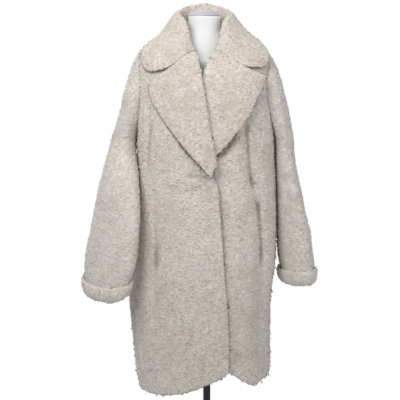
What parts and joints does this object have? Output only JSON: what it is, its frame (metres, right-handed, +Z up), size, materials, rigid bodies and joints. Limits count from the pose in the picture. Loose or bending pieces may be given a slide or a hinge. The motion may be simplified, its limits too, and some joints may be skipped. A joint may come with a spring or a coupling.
{
  "type": "faux fur coat on a limbless dress form",
  "caption": "Knee-length plush coat with wide notched lapels, overlapping front and turned-back cuffs, hanging closed on a limbless dress form with a pole and a round base.",
  "frame": {"origin": "on the floor, at the centre of the object's footprint box, under the form's base", "axes": "+Z up, the coat's front towards -Y, the wearer's left towards +X"},
  "size_m": [0.6736, 0.3538, 1.4783],
  "materials": {
    "plush": "deep curly oatmeal pile",
    "plush_sleeve": "curly oatmeal pile, greyer and smoother",
    "plush_collar": "shorter, smoother warm beige pile",
    "form_cover": "taut matt white jersey",
    "cap_finish": "satin grey",
    "stand_paint": "black powder coat"
  },
  "bodies": {
    "root": {"front_right": "plush", "front_left": "plush", "back": "plush", "sleeve_right": "plush_sleeve", "sleeve_left": "plush_sleeve", "cuff_right": "plush_sleeve", "cuff_left": "plush_sleeve", "lapel_right": "plush_collar", "lapel_left": "plush_collar", "collar": "plush_collar", "form_torso": "form_cover", "form_cap": "cap_finish", "form_pole": "stand_paint", "form_base": "stand_paint"}
  },
  "joints": []
}
